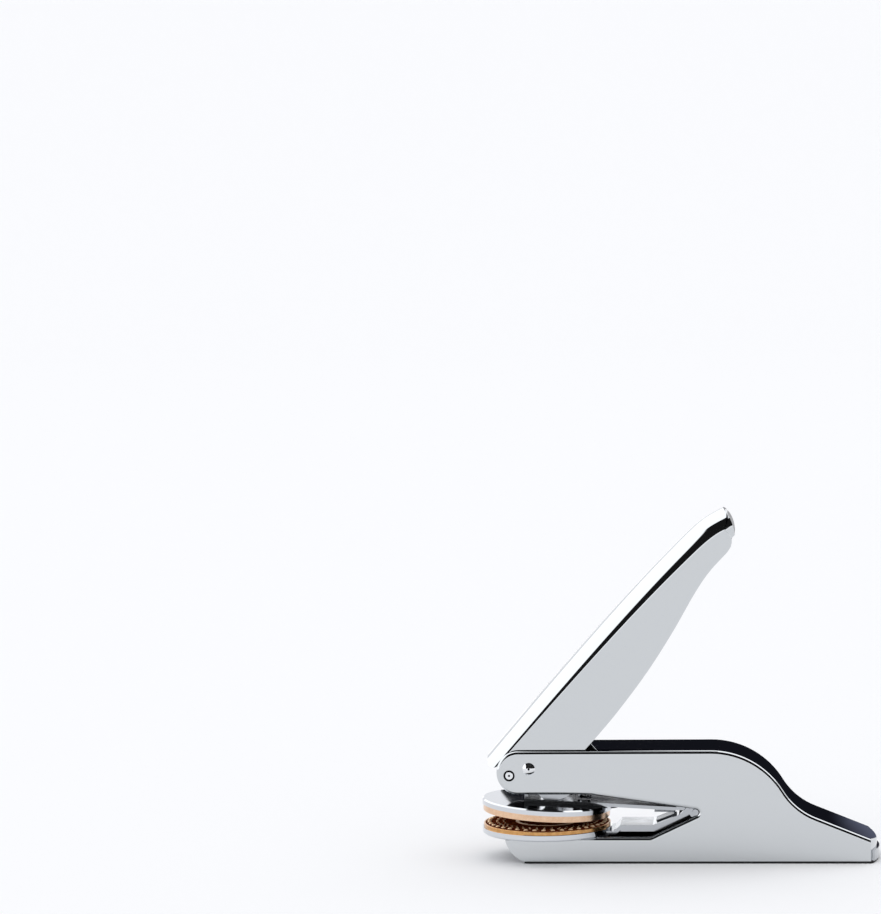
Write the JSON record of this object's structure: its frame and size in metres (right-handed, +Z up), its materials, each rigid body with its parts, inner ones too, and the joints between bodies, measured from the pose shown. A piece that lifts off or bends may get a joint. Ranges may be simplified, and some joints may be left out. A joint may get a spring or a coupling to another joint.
{
  "type": "seal embosser",
  "caption": "Chrome-plated hand-held seal embosser: a long lever pivots over a folded plate body and closes a removable insert with round dies on a sheet of paper.",
  "frame": {"origin": "On the underside of the rubber pad, straight below the common axis of the closed dies.", "axes": "+X runs from the nose, where the paper goes in, to the tail; +Y is across the body; +Z is up."},
  "size_m": [0.1524, 0.05, 0.135],
  "materials": {
    "chrome_shell": "chrome plated pressed steel, polished",
    "chrome_holder": "bright turned and plated steel",
    "zinc_steel": "zinc plated strip steel",
    "spring_steel": "hardened spring steel strip",
    "copper_die": "copper coloured die metal, turned and polished",
    "brass_die": "brass, turned and polished",
    "rubber_pad": "black sheet rubber"
  },
  "bodies": {
    "body": {"body_shell": "chrome_shell", "base_pan": "zinc_steel", "base_pad": "rubber_pad", "anvil_bridge": "zinc_steel", "pivot_pin": "chrome_shell", "pivot_washers": "zinc_steel", "tie_rivet": "chrome_shell", "tie_spacer": "zinc_steel"},
    "lever": {"lever": "chrome_shell", "lever_end_cap": "chrome_shell", "cam_block": "zinc_steel", "cam_rivets": "zinc_steel"},
    "die_insert": {"lower_jaw": "zinc_steel", "lower_holder": "chrome_holder", "lower_die": "brass_die", "lower_die_rivet": "zinc_steel", "jaw_pin": "zinc_steel", "jaw_pin_collars": "zinc_steel", "jaw_spring": "spring_steel"},
    "upper_jaw": {"upper_jaw": "zinc_steel", "upper_backing": "chrome_holder", "upper_holder": "chrome_holder", "upper_die": "copper_die", "upper_die_rivets": "zinc_steel"}
  },
  "joints": [
    {"name": "lever_hinge", "type": "hinge", "parent": "body", "child": "lever", "pos_m": [-0.0058, 0, 0.0366], "axis": [0, 1, 0], "range_deg": [0, 26], "stiffness_Nm_per_rad": 0.25, "springref_deg": -20.05},
    {"name": "insert_slide", "type": "slide", "parent": "body", "child": "die_insert", "axis": [-1, 0, 0], "range_m": [0, 0.085]},
    {"name": "upper_jaw_hinge", "type": "hinge", "parent": "die_insert", "child": "upper_jaw", "pos_m": [0.0575, 0, 0.01965], "axis": [0, -1, 0], "range_deg": [0, 3.4]}
  ],
  "couplings": [
    {"joint": "upper_jaw_hinge", "follows": "lever_hinge", "ratio": 0.13077}
  ]
}
